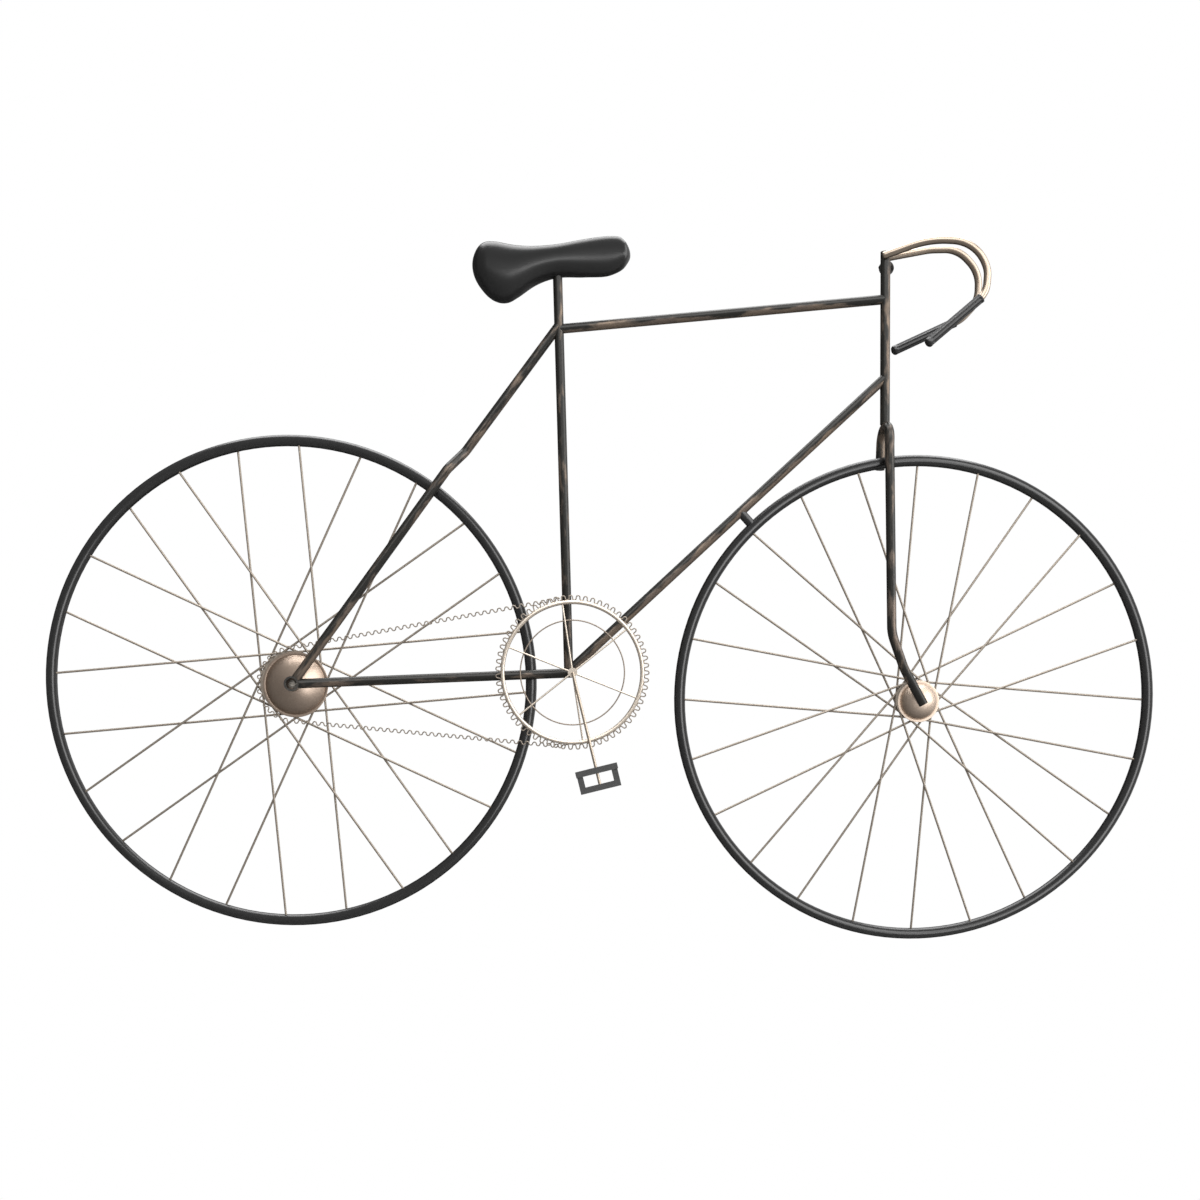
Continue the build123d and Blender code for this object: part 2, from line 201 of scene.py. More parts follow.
@dataclass(frozen=True)
class RubbedRod(Finish):
    """Steel rod, blackened and then rubbed back by hand to the bronze plate below.

    The blackening is near-black with a thin clear highlight. Where it is rubbed through, the
    rod is a dull taupe metal, in long ragged patches that lie along it. The patches are also
    pushed towards one side of the rod. That is painted light: the side is made lighter because
    the lamps catch it there.
    """

    start: Point = (0.0, 0.0, 0.0)  # metres
    end: Point = (1.0, 0.0, 0.0)  # metres
    seed: float = 0.0
    rubbed_along: Pairs = ((0.0, 0.5), (1.0, 0.5))  # share of the length, wear from 0 to 1
    painted_lit_side: float = 0.0  # painted light: rubbed lighter on the upper or forward side where the lamps catch the rod, or on the other side where negative
    patch_length: float = 30.0
    patch_width: float = 7.0
    cloud: float = 24.0  # the size of the clouds of taupe and tan in the rubbed metal
    black: str = "#23221f"
    taupe: str = "#6f635a"
    tan: str = "#7d6e60"
    stops: tuple[float, float] = (0.38, 0.62)  # the clouds' values at taupe and at tan
    metallic: tuple[float, float] = (0.3, 0.75)  # blackened and rubbed
    roughness: tuple[float, float] = (0.3, 0.42)  # blackened and rubbed
    reach: float = 0.3  # how far the wear along the rod moves the balance
    edge: float = 0.09  # softness of a patch's edge, in the noise's own range
    dent: float = 0.5
    dent_strength: float = 0.35
    detail: tuple[float, float] = (3.5, 0.58)  # the patches' octaves, and how strong they stay

    def shading(self, tree: Tree) -> dict:
        """Patches in the rod's own directions choose the colour, the metal and the gloss.

        Args:
            tree: The material's node tree.

        Returns:
            What feeds the Principled shader, by input.
        """
        way = Vector(self.end) - Vector(self.start)
        place = add_node(tree, "TexCoord").outputs["Object"]
        stretched = add_node(
            tree,
            "Mapping",
            {
                "Vector": place,
                "Location": self.start,
                "Rotation": tuple(way.to_track_quat("X", "Z").to_euler()),
                "Scale": (self.patch_length * MM, self.patch_width * MM, self.patch_width * MM),
            },
            vector_type="TEXTURE",
        )
        inputs = {"Vector": stretched, "W": self.seed, "Scale": 1.0}
        inputs |= {"Detail": self.detail[0], "Roughness": self.detail[1]}
        patches = add_node(tree, "TexNoise", inputs, noise_dimensions="4D")
        apart = add_node(tree, "SeparateXYZ", {0: stretched})
        share = add_node(
            tree,
            "MapRange",
            {"Value": apart.outputs["X"], FROM_HIGH: way.length / (self.patch_length * MM)},
        )
        wear = add_node(tree, "ValToRGB", {"Fac": share})
        set_ramp(wear, *self.rubbed_along)
        balance = patches
        # The second weight is painted light: it makes one side of the rod lighter, where the lamps
        # catch it.
        for source, weight in ((wear, self.reach), (apart.outputs["Z"], self.painted_lit_side)):
            balance = add_node(
                tree, "Math", {0: source, 1: weight, 2: balance}, operation="MULTIPLY_ADD"
            )
        neutral = 0.5 + 0.5 * self.reach
        rubbed = add_node(
            tree,
            "MapRange",
            {"Value": balance, FROM_LOW: neutral - self.edge, FROM_HIGH: neutral + self.edge},
            interpolation_type="SMOOTHSTEP",
        )
        clouds = add_node(
            tree, "TexNoise", {"Vector": place, "Scale": per_metre(self.cloud), "Detail": 2.0}
        )
        metal = add_node(tree, "ValToRGB", {"Fac": clouds})
        set_ramp(metal, *zip(self.stops, (self.taupe, self.tan)))
        colour = add_node(
            tree,
            "Mix",
            {0: rubbed, COLOUR_A: linear(self.black), COLOUR_B: metal},
            data_type="RGBA",
        )
        plated, gloss = (
            add_node(tree, "MapRange", {"Value": rubbed, TO_LOW: low, TO_HIGH: high})
            for low, high in (self.metallic, self.roughness)
        )
        dents = add_node(
            tree,
            "Bump",
            {"Strength": self.dent_strength, "Distance": self.dent * MM, "Height": patches},
        )
        return {
            "Base Color": colour.outputs[2],
            "Metallic": plated,
            "Roughness": gloss,
            "Normal": dents,
        }


@dataclass(frozen=True)
class GrainedPlate(Finish):
    """Bronze or nickel plate with a fine blasted grain, as on the spun caps and the wires.

    The grit itself is about 0.3 mm. It is drawn near 1 mm, or it wouldn't show. A low metallic
    value stands for the satin lacquer over pale plate, which scatters as much as it mirrors.
    """

    dark: str = "#a69383"
    light: str = "#bfac9c"
    grain: float = 0.8
    roughness: float = 0.4
    bump: float = 0.2
    metallic: float = 1.0
    lacquer: float = 0.5
    lacquer_roughness: float = 0.3
    uneven: tuple[float, float] = (-0.04, 0.06)  # added to the roughness, from dark to light
    stops: tuple[float, float] = (0.32, 0.7)  # the pattern's values at dark and at light
    detail: tuple[float, float] = (2.0, 0.7)  # the noise's octaves, and how strong they stay
    depth: float = 0.2  # of the relief
    ior: float = 1.5  # the shader's default, which metal keeps

    def pattern(self, tree: Tree) -> tuple[Node, Node]:
        """One fine noise, for the speckled colour as for the roughened surface.

        Args:
            tree: The material's node tree.

        Returns:
            The node that chooses the colour, and the node whose pattern is raised.
        """
        place = add_node(tree, "TexCoord").outputs["Object"]
        scale, (octaves, strength) = per_metre(self.grain), self.detail
        inputs = {"Vector": place, "Scale": scale, "Detail": octaves, "Roughness": strength}
        noise = add_node(tree, "TexNoise", inputs)
        return noise, noise

    def shading(self, tree: Tree) -> dict:
        """The pattern goes through a colour ramp, a range of roughness and a bump.

        Args:
            tree: The material's node tree.

        Returns:
            What feeds the Principled shader, by input.
        """
        pattern, raised = self.pattern(tree)
        colour = add_node(tree, "ValToRGB", {"Fac": pattern})
        set_ramp(colour, *zip(self.stops, (self.dark, self.light)))
        low, high = (self.roughness + more for more in self.uneven)
        gloss = add_node(tree, "MapRange", {"Value": pattern, TO_LOW: low, TO_HIGH: high})
        relief = {"Strength": self.bump, "Distance": self.depth * MM, "Height": raised}
        return {
            "Base Color": colour,
            "Roughness": gloss,
            "Normal": add_node(tree, "Bump", relief),
            "Metallic": self.metallic,
            "IOR": self.ior,
            "Coat Weight": self.lacquer,
            "Coat Roughness": self.lacquer_roughness,
        }


@dataclass(frozen=True)
class SatinEnamel(GrainedPlate):
    """Satin black enamel, sprayed on rod: near-black with a clear soft band of light.

    A fine mottle shifts its colour a little, and the bump is the sprayed coat's orange peel.
    """

    dark: str = "#181818"
    light: str = "#1f1f1f"
    grain: float = 2.2
    roughness: float = 0.24
    bump: float = 0.06
    metallic: float = 0.0
    lacquer: float = 0.0
    uneven: tuple[float, float] = (-0.03, 0.04)
    stops: tuple[float, float] = (0.35, 0.65)
    detail: tuple[float, float] = (3.0, 0.5)
    ior: float = 1.6


@dataclass(frozen=True)
class BrushedBronze(GrainedPlate):
    """Champagne bronze plate on steel, brushed along the rod.

    Brushing leaves fine streaks of lighter and darker pink-brown that run with the bend, so the
    pattern follows the piece's UV map: U is the length along the rod and V goes round it.
    """

    dark: str = "#a89887"
    light: str = "#c4b4a3"
    roughness: float = 0.28
    bump: float = 0.1
    lacquer: float = 0.4
    lacquer_roughness: float = 0.2
    uneven: tuple[float, float] = (0.06, -0.04)
    stops: tuple[float, float] = (0.34, 0.66)
    detail: tuple[float, float] = (5.0, 0.6)
    depth: float = 0.15
    streak_length: float = 60.0
    streaks_round: float = 9.0

    def pattern(self, tree: Tree) -> tuple[Node, Node]:
        """Noise stretched along U gives the streaks.

        Args:
            tree: The material's node tree.

        Returns:
            The streaks' node, twice.
        """
        place = add_node(tree, "TexCoord").outputs["UV"]
        scale = (per_metre(self.streak_length), self.streaks_round, 1.0)
        along = add_node(tree, "Mapping", {"Vector": place, "Scale": scale})
        octaves, strength = self.detail
        inputs = {"Vector": along, "Scale": 1.0, "Detail": octaves, "Roughness": strength}
        streaks = add_node(tree, "TexNoise", inputs)
        return streaks, streaks


@dataclass(frozen=True)
class FineLeather(GrainedPlate):
    """Black leathercloth, pulled tight over foam: near-black with a broad soft sheen.

    Wide faint clouds show where hands have polished it, and small pebbles make its grain.
    """

    dark: str = "#171717"
    light: str = "#1e1e1e"
    grain: float = 28.0  # the clouds' size
    roughness: float = 0.3
    bump: float = 0.08
    metallic: float = 0.0
    lacquer: float = 0.0
    uneven: tuple[float, float] = (0.04, -0.04)
    stops: tuple[float, float] = (0.3, 0.7)
    detail: tuple[float, float] = (2.0, 0.5)
    depth: float = 0.25
    pebble: float = 1.3

    def pattern(self, tree: Tree) -> tuple[Node, Node]:
        """The plate's noise for the clouds, and smooth cells for the pebbles.

        Args:
            tree: The material's node tree.

        Returns:
            The clouds' node and the pebbles' node.
        """
        place = add_node(tree, "TexCoord").outputs["Object"]
        inputs = {"Vector": place, "Scale": per_metre(self.pebble), "Smoothness": 0.4}
        return super().pattern(tree)[0], add_node(tree, "TexVoronoi", inputs, feature="SMOOTH_F1")


# Each finish gives its name, its dark and light colour, the size of its grain and its roughness.
# Sprayed enamel on the rings, pins and eyes, and scuffed grey-brown where the axle tube is worn.
BLACK_ENAMEL = SatinEnamel("satin_black_enamel")
WORN_ENAMEL = SatinEnamel("worn_black_enamel", "#262523", "#383531", 4.0, 0.3)
# Moulded rubber is blacker and finer than the enamel, and the pedal's matt enamel is a plain grey.
GRIP_RUBBER = SatinEnamel("moulded_black_rubber", "#131313", "#191919", 1.2, 0.25, bump=0.05)
PEDAL_STEEL = SatinEnamel("grey_enamelled_steel", "#363636", "#3d3d3d", 1.6, 0.5, bump=0.1)
# Matt floor paint, too smooth to show any grain.
FLOOR_PAINT = SatinEnamel("pale_floor_paint", "#ededed", "#f2f2f2", 40.0, 0.8, bump=0.0)
# Brushed along the bends, so that the light breaks into long streaks.
BRUSHED_CHAMPAGNE = BrushedBronze("brushed_champagne_bronze")
# Blasted caps are a sandy bronze. The front one is duller than the rear one, and its paler colour
# is painted light: the same bronze, made lighter to stand for the light on its face.
CAP_BRONZE = GrainedPlate("blasted_bronze_cap")
LIT_CAP_BRONZE_COPY = GrainedPlate("pale_blasted_cap", "#c2ae9c", "#dccbbb", 0.9, 0.5, bump=0.12)
# Satin plate, almost without grain: cream on the chainring and a deeper bronze on the crank.
RING_PLATE = GrainedPlate(
    "satin_champagne_ring", "#ddd0c1", "#e8dccd", 2.4, 0.36, bump=0.03, metallic=0.9, lacquer=0.2
)
CRANK_PLATE = GrainedPlate(
    "satin_bronze_crank", "#bcae9d", "#cec0af", 2.4, 0.34, bump=0.03, metallic=1.0, lacquer=0.3
)
# Bare drawn wire is a dull grey-brown with a soft highlight.
TAUPE_WIRE = GrainedPlate(
    "drawn_taupe_wire", "#8f857a", "#a0968a", 2.4, 0.4, bump=0.04, metallic=0.7, lacquer=0.0
)
INNER_WIRE = replace(TAUPE_WIRE, name="darker_taupe_wire", dark="#94877a", light="#a09386")
# Zinc plate has gone dull and chalky.
SCREW_ZINC = GrainedPlate(
    "zinc_plated_screw", "#d6cec2", "#e6dfd4", 1.1, 0.4, bump=0.05, metallic=0.3, lacquer=0.0
)
# Leathercloth is black with a broad sheen along the top.
SADDLE_LEATHER = FineLeather("black_leathercloth")


def make_mesh(name: str, points: np.ndarray, *groups: np.ndarray) -> Piece:
    """Makes one smooth-shaded piece, turning its faces outwards.

    The sum over triangles of a . (b x c) / 6 is the volume that they close, and it is negative
    where they face inwards. A face is taken as a fan of triangles from its first corner.

    Args:
        name: The piece's name.
        points: Its vertices in metres, one row each.
        groups: Vertex numbers of faces, one array for each number of corners.

    Returns:
        The new object, at the origin.
    """
    volume = 0.0
    for rows in groups:
        for k in range(1, rows.shape[1] - 1):
            a, b, c = (points[rows[:, n]] for n in (0, k, k + 1))
            volume += np.einsum("ij,ij->", a, np.cross(b, c))
    faces = [row for rows in groups for row in (rows[:, ::-1] if volume < 0 else rows).tolist()]
    mesh = bpy.data.meshes.new(name)
    mesh.from_pydata(points.tolist(), [], faces)
    mesh.polygons.foreach_set("use_smooth", np.ones(len(faces), bool))
    mesh.update()
    piece = bpy.data.objects.new(name, mesh)
    bpy.context.scene.collection.objects.link(piece)
    return piece


def grid_faces(rows: int, columns: int, closed_rows: bool, closed_columns: bool) -> np.ndarray:
    """Quads that join a grid of points, whose number is row * columns + column.

    Args:
        rows: Points along the first way.
        columns: Points along the second way.
        closed_rows: Whether the last row joins the first.
        closed_columns: Whether the last column joins the first.

    Returns:
        Four vertex numbers to a row.
    """
    i = np.arange(rows if closed_rows else rows - 1)[:, None]
    j = np.arange(columns if closed_columns else columns - 1)[None, :]
    next_i, next_j = (i + 1) % rows, (j + 1) % columns
    ways = [(i, j), (i, next_j), (next_i, next_j), (next_i, j)]
    corners = [np.broadcast_to(a * columns + b, (i.size, j.size)).ravel() for a, b in ways]
    return np.stack(corners, axis=1)


def skin(name: str, rings: np.ndarray, closed: bool = False) -> Piece:
    """Joins rings of points into one closed skin.

    Args:
        name: The piece's name.
        rings: Points in millimetres, by ring, place round the ring and axis.
        closed: Whether the last ring joins the first. If not, a face closes each end ring.

    Returns:
        The new piece.
    """
    rows, columns = rings.shape[:2]
    groups = [grid_faces(rows, columns, closed, True)]
    if not closed:
        first = np.arange(columns)
        groups.append(np.stack([first[::-1], (rows - 1) * columns + first]))
    return make_mesh(name, rings.reshape(-1, 3) * MM, *groups)


def soft(t: np.ndarray) -> np.ndarray:
    """A quarter round: the root of 1 - (1 - t) squared below a t of one, and one above it."""
    return np.sqrt(1 - (1 - np.clip(t, 0, 1)) ** 2)


def ride(piece: Piece, finish: Finish, slot: Slot, *nodes: str) -> Piece:
    """Dresses a new piece and ties it to the frame.

    Args:
        piece: The new piece.
        finish: Its finish.
        slot: The record's slot for that finish. It is not used.
        nodes: CAD nodes that the piece stands for.

    Returns:
        The same piece.
    """
    finish.dress(piece)
    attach(piece, "root")
    if nodes:
        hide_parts(*nodes)
    log.info("%s: %d faces", piece.name, len(piece.data.polygons))
    return piece


def unit(vectors: np.ndarray) -> np.ndarray:
    """The same vectors at a length of one."""
    return vectors / np.linalg.norm(vectors, axis=-1, keepdims=True)


def gone_along(line: np.ndarray) -> np.ndarray:
    """Each point's distance along a line: the sum of the steps before it."""
    return np.concatenate([[0], np.cumsum(np.linalg.norm(np.diff(line, axis=0), axis=1))])


def in_mm(box: tuple[Vector, Vector]) -> list[np.ndarray]:
    """A box's low and high corner in millimetres."""
    return [np.array(corner) / MM for corner in box]


def middle_of(box: tuple[Vector, Vector]) -> np.ndarray:
    """The middle of a box, in millimetres."""
    low, high = in_mm(box)
    return (low + high) / 2


def bent_line(corners: np.ndarray, bends: tuple[float, ...], step: float) -> np.ndarray:
    """The middle line of a bent rod: straight runs joined by tangent arcs, at an even spacing.

    At each inner corner an arc of its bend radius r touches both runs at r * tan(turn / 2) from
    the corner. A point on it is start + r * (into * sin(a) + towards * (1 - cos(a))), for a from
    zero to the turn, where into is the way in and towards is square to it, to the centre.

    Args:
        corners: The route's corners, one row each.
        bends: A radius for each inner corner.
        step: The spacing of the points.

    Returns:
        Points along the line, one row each.
    """
    pieces = [corners[:1]]
    for before, corner, after, radius in zip(corners, corners[1:], corners[2:], bends):
        into, onward = unit(corner - before), unit(after - corner)
        turn = math.acos(float(np.clip(into @ onward, -1, 1)))
        start = corner - into * radius * math.tan(turn / 2)
        towards = unit(onward - into * (into @ onward))
        a = np.linspace(0, turn, max(2, int(ARC_FINENESS * radius * turn / step)))[:, None]
        pieces.append(start + radius * (into * np.sin(a) + towards * (1 - np.cos(a))))
    dense = np.concatenate([*pieces, corners[-1:]])
    gone = gone_along(dense)
    even = np.linspace(0, gone[-1], int(gone[-1] / step) + 1)
    return np.stack([np.interp(even, gone, dense[:, k]) for k in range(3)], axis=1)


def tube(
    name: str, line: np.ndarray, radius: float, sides: int, across: np.ndarray, closed: bool = False
) -> Piece:
    """A round tube along a line, with U along its length in metres and V round it.

    A point is line + radius * (side * cos(a) + up * sin(a)), where side is square to the line
    and to the vector across, and up is square to the line and side. An open end is half an
    ellipsoid: its rings shrink with cos(turn) and stand out with END_BULGE * sin(turn).

    Args:
        name: The piece's name.
        line: Points of the middle line, in millimetres.
        radius: The tube's radius, in millimetres.
        sides: Points round the tube.
        across: A vector that is never along the line.
        closed: Whether the line ends where it starts.

    Returns:
        The tube, with closed ends unless it is a ring.
    """
    ahead = np.roll(line, -1, axis=0) - np.roll(line, 1, axis=0)
    if not closed:
        ahead[0], ahead[-1] = line[1] - line[0], line[-1] - line[-2]
    ahead = unit(ahead)
    side = unit(np.cross(across, ahead))
    up = np.cross(ahead, side)
    sizes = np.full(len(line), radius)
    if not closed:
        turns = np.radians(np.linspace(*END_TURNS_DEG, END_RINGS))
        shrink, bulge = radius * np.cos(turns), radius * END_BULGE * np.sin(turns)
        head = line[0] - ahead[0] * bulge[:, None]
        tail = line[-1] + ahead[-1] * bulge[::-1, None]
        line = np.concatenate([head, line, tail])
        side, up = (
            np.concatenate([np.repeat(v[:1], END_RINGS, 0), v, np.repeat(v[-1:], END_RINGS, 0)])
            for v in (side, up)
        )
        sizes = np.concatenate([shrink, sizes, shrink[::-1]])
    a = np.linspace(0, 2 * np.pi, sides, endpoint=False)[None, :, None]
    spread = side[:, None] * np.cos(a) + up[:, None] * np.sin(a)
    piece = skin(name, line[:, None] + sizes[:, None, None] * spread, closed)
    add_tube_uv(piece, gone_along(line) * MM, sides)
    return piece


def add_tube_uv(piece: Piece, gone: np.ndarray, sides: int) -> None:
    """Gives a tube its UV map, from each vertex's ring and its place round the ring.

    A face that crosses the seam has corners at both ends of V. Those at its low end get one
    turn more, so that no face runs backwards round the tube.

    Args:
        piece: A tube whose vertex number is ring * sides + place round it.
        gone: Each ring's distance along the tube, in metres.
        sides: Points round the tube.
    """
    mesh = piece.data
    corner = np.zeros(len(mesh.loops), np.int64)
    mesh.loops.foreach_get("vertex_index", corner)
    ring, place = corner // sides, corner % sides
    around = place / sides
    start = np.zeros(len(mesh.polygons), np.int64)
    total = np.zeros(len(mesh.polygons), np.int64)
    mesh.polygons.foreach_get("loop_start", start)
    mesh.polygons.foreach_get("loop_total", total)
    highest = np.repeat(np.maximum.reduceat(around, start), total)
    around = np.where(highest - around > 0.5, around + 1.0, around)
    layer = mesh.uv_layers.new(name="along")
    layer.data.foreach_set("uv", np.stack([gone[ring], around], axis=1).astype(np.float32).ravel())


@dataclass(frozen=True)
class Lamp:
    """One soft box: where it stands from the object's middle, its size and its power."""

    name: str
    turn_deg: float  # to the right of the line towards the viewer
    rise_deg: float
    distance: float  # metres
    width: float  # metres
    height: float  # metres
    watts: float
    lights_only: tuple[str, ...] = ()  # the pieces that it lights, if not all of them
    spares: tuple[str, ...] = ()  # the pieces that it doesn't light


@dataclass
class Studio:
    """Camera, white surroundings, lamps and the pale floor below the hanging object."""

    size_px: float = 1200.0
    focal_px: float = 1500.0
    centre_px: tuple[float, float] = (582.003, 833.283)
    camera_place: Point = (-307.27, -1387.33, -430.39)
    yaw: float = 0.0316157415  # radians, as pitch and roll
    pitch: float = -0.0656122518
    roll: float = -0.0260065011
    sensor: float = 36.0
    floor_z_m: float = -1.5
    floor_wide_m: float = 4.0
    floor_behind_m: float = 0.5
    fill_light: float = 0.4
    lit_way: Point = (0.75, 0.0, 0.66)  # where the room is brightest
    room: tuple[float, float] = (0.26, 0.6)  # in front, facing away from lit_way and along it
    wall: tuple[float, float] = (0.06, 0.9)  # behind, on the dim side and on the lit side
    wall_lit: tuple[float, float] = (-0.1, 0.8)  # where those two are, along lit_way
    wall_y: tuple[float, float] = (-0.05, 0.35)  # a direction's y where the wall takes over
    middle: Point = (-0.25, 0.0, -0.3)  # metres
    # turn, rise, distance, width, height, watts and the pieces that it lights
    lamps: tuple[Lamp, ...] = (
        Lamp("side_box", 64.0, 20.0, 3.2, 2.4, 3.4, 78.0, spares=TYRES),
        Lamp("high_box", 4.0, 38.0, 3.2, 3.4, 2.4, 66.0, spares=NO_HIGH_BOX),
        Lamp("top_box", 0.0, 102.0, 2.6, 3.0, 2.2, 90.0),
        Lamp("strip", 32.0, 6.0, 3.2, 1.7, 3.6, 72.0, ("rear_spun_cap", *TYRES)),
        Lamp("front_cap_box", 20.0, 5.0, 3.2, 5.0, 5.0, 112.0, ("front_spun_cap",)),
        Lamp("saddle_strip", 26.0, 11.0, 3.2, 2.4, 0.5, 26.0, ("saddle_pad",)),
    )

    def place_camera(self) -> None:
        """Sets the camera that the photograph's wheel ellipses give.

        Forward is (sin yaw cos pitch, cos yaw cos pitch, sin pitch), and the roll turns right
        and down about it. The shift moves the image centre to the lens axis.
        """
        forward = Vector(
            (
                math.sin(self.yaw) * math.cos(self.pitch),
                math.cos(self.yaw) * math.cos(self.pitch),
                math.sin(self.pitch),
            )
        )
        level = Vector((math.cos(self.yaw), -math.sin(self.yaw), 0.0))
        plumb = forward.cross(level)
        right = level * math.cos(self.roll) + plumb * math.sin(self.roll)
        down = plumb * math.cos(self.roll) - level * math.sin(self.roll)
        lens = bpy.data.cameras.new("camera")
        camera = bpy.data.objects.new("camera", lens)
        turned = Matrix((right, -down, -forward)).transposed().to_4x4()
        camera.matrix_world = Matrix.Translation(Vector(self.camera_place) * MM) @ turned
        lens.sensor_width = self.sensor
        lens.lens = self.sensor * self.focal_px / self.size_px
        lens.shift_x = (self.size_px / 2 - self.centre_px[0]) / self.size_px
        lens.shift_y = (self.centre_px[1] - self.size_px / 2) / self.size_px
        bpy.context.scene.collection.objects.link(camera)
        bpy.context.scene.camera = camera

    def light_world(self) -> None:
        """White for the camera, an even fill for matt surfaces, and a room for the metal.

        Metal in front of the object mirrors a grey room. A direction that points back mirrors
        the wall. Both are brighter where a direction's part along lit_way is larger.
        """
        world = bpy.data.worlds.new("white_studio")
        bpy.context.scene.world = world
        world.use_nodes = True
        tree = world.node_tree
        tree.nodes.clear()
        path = add_node(tree, "LightPath").outputs
        mirrored = add_node(
            tree,
            "Math",
            {0: path["Is Glossy Ray"], 1: path["Is Transmission Ray"]},
            operation="MAXIMUM",
        )
        look = add_node(tree, "TexCoord").outputs["Generated"]
        lit = add_node(
            tree, "VectorMath", {0: look, 1: self.lit_way}, operation="DOT_PRODUCT"
        ).outputs["Value"]
        apart = add_node(tree, "SeparateXYZ", {0: look})
        room, wall, behind = (
            add_node(
                tree,
                "MapRange",
                {"Value": value, FROM_LOW: low, FROM_HIGH: high, TO_LOW: dim, TO_HIGH: bright},
                interpolation_type="SMOOTHSTEP",
            )
            for value, (low, high), (dim, bright) in (
                (lit, (-1.0, 1.0), self.room),
                (lit, self.wall_lit, self.wall),
                (apart.outputs["Y"], self.wall_y, (0.0, 1.0)),
            )
        )
        level = add_node(tree, "Mix", {0: behind, LEVEL_A: room, LEVEL_B: wall})
        fill, seen, backdrop = (
            add_node(tree, "Background", {"Color": linear("#ffffff"), "Strength": strength})
            for strength in (self.fill_light, level, 1.0)
        )
        around = add_node(tree, "MixShader", {0: mirrored, 1: fill, 2: seen})
        mixed = add_node(tree, "MixShader", {0: path["Is Camera Ray"], 1: around, 2: backdrop})
        add_node(tree, "OutputWorld", {"Surface": mixed})

    def hang_lamps(self) -> None:
        """Points each soft box at the object's middle."""
        middle = Vector(self.middle)
        for lamp in self.lamps:
            turn, rise = math.radians(lamp.turn_deg), math.radians(lamp.rise_deg)
            way = Vector(
                (math.sin(turn) * math.cos(rise), -math.cos(turn) * math.cos(rise), math.sin(rise))
            )
            data = bpy.data.lights.new(lamp.name, "AREA")
            data.shape = "RECTANGLE"
            data.size, data.size_y = lamp.width, lamp.height
            data.energy = lamp.watts
            placed = bpy.data.objects.new(lamp.name, data)
            placed.matrix_world = Matrix.Translation(middle + way * lamp.distance) @ (
                way.to_track_quat("Z", "Y").to_matrix().to_4x4()
            )
            bpy.context.scene.collection.objects.link(placed)

    def flag_lamps(self) -> None:
        """Keeps some lamps off all but a few pieces, as black flags do in a studio."""
        for lamp in self.lamps:
            if lamp.lights_only or lamp.spares:
                lit = bpy.data.collections.new(f"lit_by_{lamp.name}")
                for piece in bpy.data.objects:
                    wanted = piece.name in lamp.lights_only or not lamp.lights_only
                    if piece.type == "MESH" and wanted and piece.name not in lamp.spares:
                        lit.objects.link(piece)
                bpy.data.objects[lamp.name].light_linking.receiver_collection = lit

    def lay_floor(self) -> None:
        """A pale floor under the hanging object, reaching to where its wall would be."""
        wide, back, front = self.floor_wide_m / 2, self.floor_behind_m, -self.floor_wide_m
        corners = np.array([[-wide, front, 0], [wide, front, 0], [wide, back, 0], [-wide, back, 0]])
        corners += np.array([self.middle[0], 0, self.floor_z_m])
        mesh = bpy.data.meshes.new("studio_floor")
        mesh.from_pydata(corners.tolist(), [], [(0, 1, 2, 3)])
        floor = bpy.data.objects.new("studio_floor", mesh)
        bpy.context.scene.collection.objects.link(floor)
        FLOOR_PAINT.dress(floor)
        floor.visible_glossy = False  # it is far below, where the metal sees the dim room

    def build(self) -> None:
        """Sets up the whole studio."""
        bpy.context.scene.view_settings.view_transform = "Standard"
        self.place_camera()
        self.light_world()
        self.hang_lamps()
        self.lay_floor()


@dataclass(frozen=True)
class Rod:
    """One frame rod: where it runs, and where along it the blackening is rubbed through."""

    name: str
    start: Point  # from the rear wheel's centre
    end: Point
    # Painted light: how much lighter the rod is rubbed on its upper or forward side, where the
    # lamps catch it.
    painted_lit_side: float
    rubbed_along: Pairs


